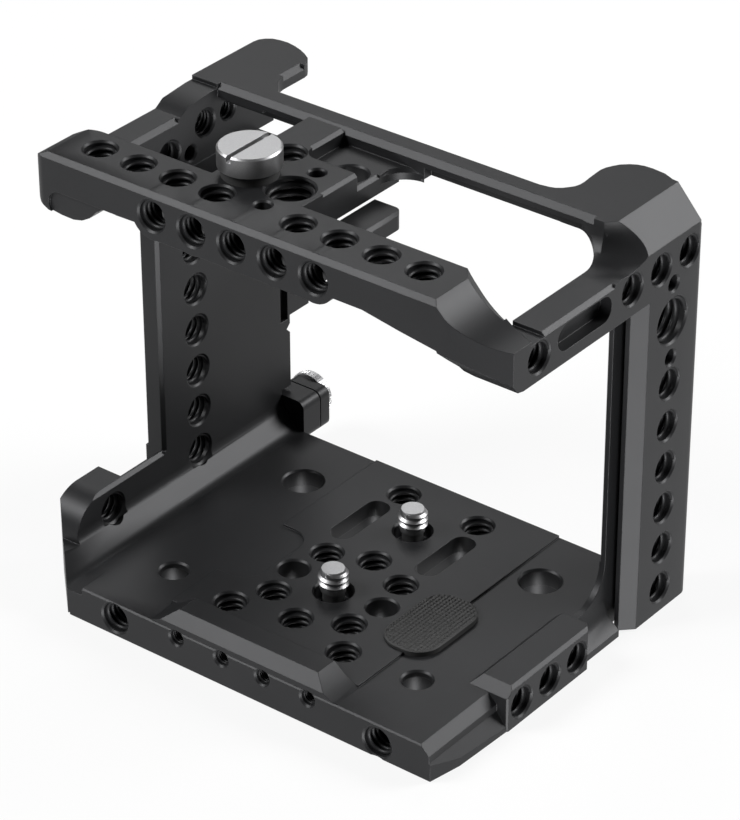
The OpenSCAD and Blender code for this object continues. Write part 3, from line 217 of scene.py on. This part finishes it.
# thread ridge: point(a, c) = mouth + r(c) ring(a) - (start + pitch a / tau - z(c)) axis, with z(c) = half pitch
# times (1, crown, -crown, -1)
def helixRidge(mouth, axis, size, start, depth, steps=30):
    count = int(depth / size["pitch"] * steps) + 1
    angle = np.linspace(0, depth / size["pitch"] * tau, count)
    fade = np.clip(np.minimum(angle, angle[-1] - angle) / ridge["fade"], ridge["thin"], 1)
    foot, crest = np.full(count, size["foot"]), size["foot"] + (size["crest"] - size["foot"]) * fade
    half = 0.5 * size["pitch"] * ridge["foot"]
    r = np.stack([foot, crest, crest, foot], 1)
    spread = np.array([1, ridge["crown"], -ridge["crown"], -1])
    z = -start - size["pitch"] * angle[:, None] / tau + half * spread
    u, v, w = axesFor(axis)
    ring = np.cos(angle)[:, None, None] * u + np.sin(angle)[:, None, None] * v
    points = (np.array(mouth) + (r[:, :, None] * ring + z[:, :, None] * w) * mm).reshape(-1, 3)
    last = 4 * (count - 1)
    ends = [[0, 1, 2, 3]], [[last + 3, last + 2, last + 1, last]]
    faces = np.concatenate([gridFaces(count, 4)[:, ::-1], *ends])
    return points, faces if size["crest"] > size["foot"] else faces[:, ::-1]


threads = {
    "quarter": {"foot": 3.22, "crest": 2.56, "pitch": 1.27},
    "threeEighths": {"foot": 4.81, "crest": 4.0, "pitch": 1.5875},
    "upper": {"foot": 2.84, "crest": 2.35, "pitch": 0.8},
    "wallSmall": {"foot": 2.14, "crest": 1.72, "pitch": 0.7},
    "lens": {"foot": 1.64, "crest": 1.3, "pitch": 0.5},
}
lead = 0.75  # the first ridge lies this far under the mouth


def tapped(name, places, axis, depth, size="quarter"):
    points, faces = gather([helixRidge(p, axis, threads[size], lead, depth) for p in places])
    data = bpy.data.meshes.new(name)
    data.from_pydata(points.tolist(), [], faces.tolist())
    dressed(name, data, "black_anodised", "cage")


# the machined sections joined into one skin, so that no seam shows where two of them meet
def cageSkin(names):
    group = bpy.data.collections.new("sections")
    copies = []
    for name in names:
        work = bmesh.new()
        work.from_mesh(frame["nodes"][name].data)
        bmesh.ops.remove_doubles(work, verts=work.verts, dist=1e-7)
        data = bpy.data.meshes.new(name + "Copy")
        work.to_mesh(data)
        work.free()
        copies.append(bpy.data.objects.new(name + "Copy", data))
        (group if len(copies) > 1 else bpy.context.scene.collection).objects.link(copies[-1])
    join = copies[0].modifiers.new("join", "BOOLEAN")
    join.operation, join.operand_type, join.solver, join.collection = "UNION", "COLLECTION", "MANIFOLD", group
    skin = bpy.data.meshes.new_from_object(copies[0].evaluated_get(bpy.context.evaluated_depsgraph_get()))
    for copy in copies:
        bpy.data.meshes.remove(copy.data)
    bpy.data.collections.remove(group)
    for stale in {"custom_normal", "sharp_edge", "sharp_face"} & set(skin.attributes.keys()):
        skin.attributes.remove(skin.attributes[stale])
    skin.materials.clear()
    piece = dressed("cageSkin", skin, "black_anodised", "cage", sharp["skin"])
    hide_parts(*names)


cageSkin([n for n in frame["nodes"] if slotOf[n] == "black_anodised" and not n.startswith("clamp")])
print("cage skin made")

topRow = {
    "first": 7.3, "pitch": 9.64, "y": 24.847, "bigY": 34.396, "blockY": 45.6, "blockShift": 0.35,
    "frontZ": 84.74, "frontY": 17.0, "depth": 6.2, "frontDepth": 4.0,
}
across = [topRow["first"] + i * topRow["pitch"] for i in range(9)]
topHoles = [place(x, topRow["y"], cage["height"]) for i, x in enumerate(across) if i != 4]
tapped("topRowThreads", topHoles, up, topRow["depth"])
frontHoles = [place(x, topRow["frontY"], topRow["frontZ"]) for x in across[2:7]]
tapped("frontRowThreads", frontHoles, front, topRow["frontDepth"])
tapped("bigTopThread", [place(across[4], topRow["bigY"], cage["height"])], up, topRow["depth"], "threeEighths")
blockHole = place(across[3] + topRow["blockShift"], topRow["blockY"], cage["height"])
tapped("blockThread", [blockHole], up, topRow["depth"])

sideRow = {"y": 71.807, "first": 5.6, "pitch": 9.3, "bigZ": 65.9, "depth": 5.2}
sideHoles = [place(cage["rightFace"], sideRow["y"], sideRow["first"] + i * sideRow["pitch"]) for i in range(6)]
tapped("uprightThreads", sideHoles, right, sideRow["depth"])
bigSideHole = place(cage["rightFace"], sideRow["y"], sideRow["bigZ"])
tapped("bigSideThread", [bigSideHole], right, sideRow["depth"], "threeEighths")

barRow = {"first": 58.0, "pitch": 9.4, "z": 78.758, "loneY": 28.8, "loneZ": 77.997, "depth": 5.8}
barHoles = [place(cage["rightFace"], barRow["first"] + i * barRow["pitch"], barRow["z"]) for i in range(3)]
barHoles.append(place(cage["rightFace"], barRow["loneY"], barRow["loneZ"]))
tapped("rightBarThreads", barHoles, right, barRow["depth"])

lugRow = {"y": (25.66, 34.70, 43.74), "z": 4.545, "depth": 7.6}
tapped("rightLugThreads", [place(cage["width"], y, lugRow["z"]) for y in lugRow["y"]], right, lugRow["depth"])

wallRow = {"inner": 12.0, "y": 45.602, "first": 13.9, "pitch": 9.35, "depth": 3.9, "lugY": 18.82, "lugZ": 13.4}
wallHoles = [place(wallRow["inner"], wallRow["y"], wallRow["first"] + i * wallRow["pitch"]) for i in range(6)]
wallHoles.append(place(wallRow["inner"], wallRow["lugY"], wallRow["lugZ"]))
tapped("wallThreads", wallHoles, right, wallRow["depth"])

upperRow = {
    "inner": 7.2, "large": (55.60, 82.65), "small": (62.50, 82.75), "quarter": (44.70, 79.60),
    "depth": 4.8, "blindDepth": 1.9,
}
tapped("upperThread", [place(upperRow["inner"], *upperRow["large"])], right, upperRow["depth"], "upper")
upperSmallHole = place(upperRow["inner"], *upperRow["small"])
tapped("upperSmallThread", [upperSmallHole], right, upperRow["depth"], "wallSmall")
tapped("upperBlindThread", [place(upperRow["inner"], *upperRow["quarter"])], right, upperRow["blindDepth"])

# tapped holes of the base, as shares of the whole width and depth, and in its front, of width and floor
deckShares = [
    (0.468, 0.47), (0.553, 0.512), (0.64, 0.47), (0.469, 0.267), (0.429, 0.17),
    (0.556, 0.209), (0.643, 0.267), (0.688, 0.17), (0.46, 0.787), (0.633, 0.787),
]
frontWide = [(0.264, 0.53), (0.864, 0.44)]
frontSmall = [(0.41, 0.8), (0.514, 0.8), (0.608, 0.8), (0.71, 0.8)]
baseDepth = {"deck": 6.4, "front": 5.2}
deckHoles = [place(x * cage["width"], y * cage["depth"], cage["pad"]) for x, y in deckShares]
tapped("deckThreads", deckHoles, up, baseDepth["deck"])
wideHoles, smallHoles = (
    [place(x * cage["width"], 0, z * cage["floor"]) for x, z in shares] for shares in (frontWide, frontSmall)
)
tapped("frontWideThreads", wideHoles, front, baseDepth["front"])
tapped("lensThreads", smallHoles, front, baseDepth["front"], "lens")
print("threads made")


# turned form: point(i, a) = (r(i) cos a, r(i) sin a, z(i)) about the axis, closed where r is 0
def turned(centre, profile, steps=96):
    r, z = np.array(profile, float).T
    a = np.linspace(0, tau, steps, endpoint=False)
    rings = np.stack([r[:, None] * np.cos(a), r[:, None] * np.sin(a), np.repeat(z[:, None], steps, 1)], -1)
    points = np.array(centre) + rings.reshape(-1, 3) * mm
    last = steps * (len(profile) - 1)
    sides = gridFaces(len(profile), steps).tolist()
    return points, sides + [list(range(steps))[::-1], list(range(last, last + steps))]


def merged(name, shapes, look, body):  # one piece from separate closed forms
    points = np.concatenate([p for p, f in shapes])
    starts = np.cumsum([0] + [len(p) for p, f in shapes[:-1]])
    lists = [f if isinstance(f, list) else f.tolist() for p, f in shapes]
    faces = [[i + start for i in face] for f, start in zip(lists, starts) for face in f]
    data = bpy.data.meshes.new(name)
    data.from_pydata(points.tolist(), [], faces)
    return dressed(name, data, look, body, sharp["forms"])


# captive screws: slotted head below, neck, and a threaded stud that stands out of the well
stud = {
    "places": {"front": (0.555, 0.352), "back": (0.548, 0.672)}, "low": 0.3, "headR": 6.2, "headT": 2.7,
    "neckR": 2.15, "shoulder": 8.3, "coreR": 2.5, "tip": 13.4, "tipR": 2.3, "slotW": 1.1, "slotD": 1.3,
    "edge": 0.35, "hub": 0.01, "points": 49,
}
# its thread starts this share of a pitch under the tip and is this many pitches shorter than the core
studThread = {"foot": 2.46, "crest": 3.05, "pitch": 1.27, "start": 0.52, "short": 1.05}


def captiveScrew(side):
    x, y = stud["places"][side]
    at = place(x * cage["width"], y * cage["depth"], 0)
    top = stud["low"] + stud["headT"]
    s, e, half = stud["slotD"] + stud["low"], stud["edge"], stud["slotW"] / 2
    hub, rim, neckR, shoulder = stud["hub"], stud["headR"], stud["neckR"], stud["shoulder"]
    coreR, tip = stud["coreR"], stud["tip"]
    head = turned(at, [(hub, s), (rim, s), (rim, top - e), (rim - e, top), (hub, top)])
    cheeks = []
    for way in (1, -1):  # two half discs either side of the slot
        limit = math.asin(half / rim)
        a = np.linspace(limit, math.pi - limit, stud["points"]) * way
        r = np.array([rim - e, rim, rim])[:, None]
        z = np.array([stud["low"], stud["low"] + e, s])[:, None]
        reach = np.where(abs(r * np.sin(a)) < half, half * way, r * np.sin(a))
        cheek = np.stack([r * np.cos(a), reach, z + 0 * a], -1)
        n = len(a)
        faces = gridFaces(3, n).tolist() + [list(range(n)), list(range(2 * n, 3 * n))]
        faces = [f[::-1] if (i == len(faces) - 2) == (way > 0) else f for i, f in enumerate(faces)]
        cheeks.append((at + cheek.reshape(-1, 3) * mm, faces))
    neck = turned(at, [(hub, top - e), (neckR, top - e), (neckR, shoulder + e), (hub, shoulder + e)])
    core = turned(at, [(hub, shoulder), (coreR, shoulder), (coreR, tip - e), (stud["tipR"], tip), (hub, tip)])
    depth = tip - shoulder - studThread["pitch"] * studThread["short"]
    start = studThread["pitch"] * studThread["start"]
    turns = helixRidge(at + np.array([0, 0, tip]) * mm, up, studThread, start, depth)
    piece = merged(side + "Stud", [head, neck, core, turns] + cheeks, "steel", side + "_screw")
    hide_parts("camera_screw_" + side)


captiveScrew("front")
captiveScrew("back")
print("captive screws made")

thumb = {
    "x": 12.15, "z": 10.41, "face": 80.3, "thick": 1.9, "radius": 4.8,
    "teeth": 44, "half": 0.46, "proud": 0.16, "inset": 0.3, "sink": 0.4,
}


# grip round the thumb wheel: tooth i is a three-sided bar along Y, with its crest proud at angle tau i / teeth
def thumbGrip():
    half = tau / thumb["teeth"] * thumb["half"]
    parts = []
    for i in range(thumb["teeth"]):
        a = tau * i / thumb["teeth"] + np.array([-half, half, 0])
        r = thumb["radius"] + np.array([-thumb["sink"], -thumb["sink"], thumb["proud"]])
        ends = (thumb["face"] + thumb["inset"], thumb["face"] + thumb["thick"] - thumb["inset"])
        rows = [np.stack([r * np.cos(a), np.full(3, y), r * np.sin(a)], 1) for y in ends]
        points = place(thumb["x"], 0, thumb["z"]) + np.concatenate(rows) * mm
        parts.append((points, [[0, 1, 4, 3], [1, 2, 5, 4], [2, 0, 3, 5], [2, 1, 0], [3, 4, 5]]))
    return parts


merged("thumbGrip", thumbGrip(), "steel", "thumb")
print("thumb grip made")

# rubber pad: rounded block whose top is a waffle of small square pyramids
rubber = {
    "centre": (0.761, 0.379), "wide": 12.2, "long": 20.5, "round": 5.2, "low": 7.5, "top": 8.7,
    "pitch": 0.86, "deep": 0.34, "step": 0.107, "rim": 0.35, "steep": 2.2, "fall": 0.6,
}


# height(x, y) = top - deep (1 - flank) within the rim, with flank = steep (1 - max(|saw x|, |saw y|)) up to 1,
# where saw is a triangle wave of the pitch; outside the rim it falls away
def rubberPad():
    halfW, halfL, r = rubber["wide"] / 2, rubber["long"] / 2, rubber["round"]
    nx, ny = int(rubber["wide"] / rubber["step"]), int(rubber["long"] / rubber["step"])
    x, y = np.meshgrid(np.linspace(-halfW, halfW, nx), np.linspace(-halfL, halfL, ny), indexing="ij")
    cx, cy = np.clip(x, r - halfW, halfW - r), np.clip(y, r - halfL, halfL - r)
    away = np.hypot(x - cx, y - cy)
    pull = np.where(away > r, r / np.maximum(away, 1e-9), 1)  # corners come in to the round outline
    x, y = cx + (x - cx) * pull, cy + (y - cy) * pull
    inner = r - np.hypot(x - cx, y - cy)
    atCorner = (abs(x) > halfW - r) & (abs(y) > halfL - r)
    inner = np.minimum(np.minimum(halfW - abs(x), halfL - abs(y)), np.where(atCorner, inner, np.inf))
    wave = [abs(((v / rubber["pitch"]) % 1) * 2 - 1) for v in (x, y)]
    flank = np.clip((1 - np.maximum(*wave)) * rubber["steep"], 0, 1)
    z = rubber["top"] - rubber["deep"] * (1 - flank) * (inner > rubber["rim"])
    z = z - np.clip(rubber["rim"] - inner, 0, 1) * rubber["fall"]
    at = place(rubber["centre"][0] * cage["width"], rubber["centre"][1] * cage["depth"], 0)
    topPoints = np.stack([x, y, z], -1)
    border = np.concatenate([topPoints[:-1, 0], topPoints[-1, :-1], topPoints[:0:-1, -1], topPoints[0, :0:-1]])
    foot = border * (1, 1, 0) + (0, 0, rubber["low"])
    i, j = np.arange(nx - 1)[:, None], np.arange(ny - 1)[None, :]
    quads = np.stack([i * ny + j, (i + 1) * ny + j, (i + 1) * ny + j + 1, i * ny + j + 1], -1).reshape(-1, 4)
    ids = np.arange(nx * ny).reshape(nx, ny)
    edge = np.concatenate([ids[:-1, 0], ids[-1, :-1], ids[:0:-1, -1], ids[0, :0:-1]])
    low = nx * ny + np.arange(len(edge))
    skirt = np.stack([edge, low, np.roll(low, -1), np.roll(edge, -1)], 1)
    faces = np.concatenate([quads, skirt]).tolist() + [low[::-1].tolist()]
    return at + np.concatenate([topPoints.reshape(-1, 3), foot]) * mm, faces


pad = merged("knurledPad", [rubberPad()], "rubber", "cage")
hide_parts("rubber_pad")
print("rubber pad made")

floor = {"size": 2.0, "colour": 0.65, "level": -0.0002, "white": 0.86}


def flatSheet(name, size, z):
    data = bpy.data.meshes.new(name)
    corners = [(-size, -size, z), (size, -size, z), (size, size, z), (-size, size, z)]
    data.from_pydata(corners, [], [(0, 1, 2, 3)])
    sheet = bpy.data.objects.new(name, data)
    bpy.context.scene.collection.objects.link(sheet)
    return sheet


def paleFloor():  # near white where the camera, gloss or glass sees it, with the shadow kept faint
    t = Tree("paleFloor")
    t.feed(Base_Color=grey(floor["colour"]), Roughness=0.9)
    ways = ("Camera", "Glossy", "Transmission")
    seen = sum(t.node("ShaderNodeLightPath", output="Is " + way + " Ray") for way in ways)
    lit = Value(t, t.shader.outputs[0])
    white = t.node("ShaderNodeEmission", None, {"Color": grey(1), "Strength": 1.0})
    blend = t.node("ShaderNodeMixShader", None, {0: seen.clamp() * floor["white"], 1: lit, 2: white})
    t.links.new(blend.socket, t.nodes["Material Output"].inputs["Surface"])
    return t.material


ground = flatSheet("floor", floor["size"], floor["level"])
ground.data.materials.append(paleFloor())
ground.visible_shadow = False  # a light table: the low box shines up through it

studio = {"world": 0.08, "aim": (0, 0, 0.045), "far": 1.4}
world = bpy.data.worlds.new("studio")
bpy.context.scene.world = world
world.use_nodes = True
world.node_tree.nodes["Background"].inputs[0].default_value = grey(1)
world.node_tree.nodes["Background"].inputs[1].default_value = studio["world"]


def lamp(name, direction, size, watts):  # square soft box that faces the cage
    data = bpy.data.lights.new(name, "AREA")
    data.shape, data.size, data.energy = "SQUARE", size, watts
    box = bpy.data.objects.new(name, data)
    bpy.context.scene.collection.objects.link(box)
    away = np.array(direction, float)
    away /= np.linalg.norm(away)
    box.location = np.array(studio["aim"]) + away * studio["far"]
    turn = np.stack(axesFor(away), 1)
    box.rotation_euler = mathutils.Matrix(turn.tolist()).to_euler()


lamp("keyBox", (-0.52, -0.53, 0.67), 0.55, 22.0)
lamp("backBox", (0.53, 0.67, 0.52), 0.6, 23.0)
lamp("topBox", (-0.45, 0.55, 0.70), 0.6, 5.0)
lamp("lowBox", (0.667, -0.52, -0.533), 0.5, 25.0)

shot = {
    "azimuth": 37.91, "elevation": 32.22, "roll": -0.06, "focalPx": 3720.4, "centreX": 378.0, "centreY": 462.6,
    "wide": 740, "high": 820, "cornerPx": (430, 782), "corner": (105.3, 0.0, 0.0), "depth": 685.0, "film": 24.0,
}


def photoCamera():
    a, e, r = (math.radians(shot[k]) for k in ("azimuth", "elevation", "roll"))
    back = np.array([math.sin(a) * math.cos(e), -math.cos(a) * math.cos(e), math.sin(e)])
    flat = np.array([math.cos(a), math.sin(a), 0.0])
    rise = np.cross(back, flat)
    across, rise = math.cos(r) * flat + math.sin(r) * rise, -math.sin(r) * flat + math.cos(r) * rise
    x = (shot["cornerPx"][0] - shot["centreX"]) / shot["focalPx"] * shot["depth"]
    y = -(shot["cornerPx"][1] - shot["centreY"]) / shot["focalPx"] * shot["depth"]
    eye = place(*shot["corner"]) - (x * across + y * rise - shot["depth"] * back) * mm
    data = bpy.data.cameras.new("photoCamera")
    data.sensor_fit = "VERTICAL"
    data.sensor_height = shot["film"]
    data.lens = shot["focalPx"] / shot["high"] * shot["film"]
    data.shift_x = (shot["wide"] / 2 - shot["centreX"]) / shot["high"]
    data.shift_y = (shot["centreY"] - shot["high"] / 2) / shot["high"]
    data.clip_end = 20
    camera = bpy.data.objects.new("photoCamera", data)
    bpy.context.scene.collection.objects.link(camera)
    turn = np.eye(4)
    turn[:3, 0], turn[:3, 1], turn[:3, 2], turn[:3, 3] = across, rise, back, eye
    camera.matrix_world = mathutils.Matrix(turn.tolist())
    bpy.context.scene.camera = camera


photoCamera()
bpy.context.scene.view_settings.view_transform = "Standard"
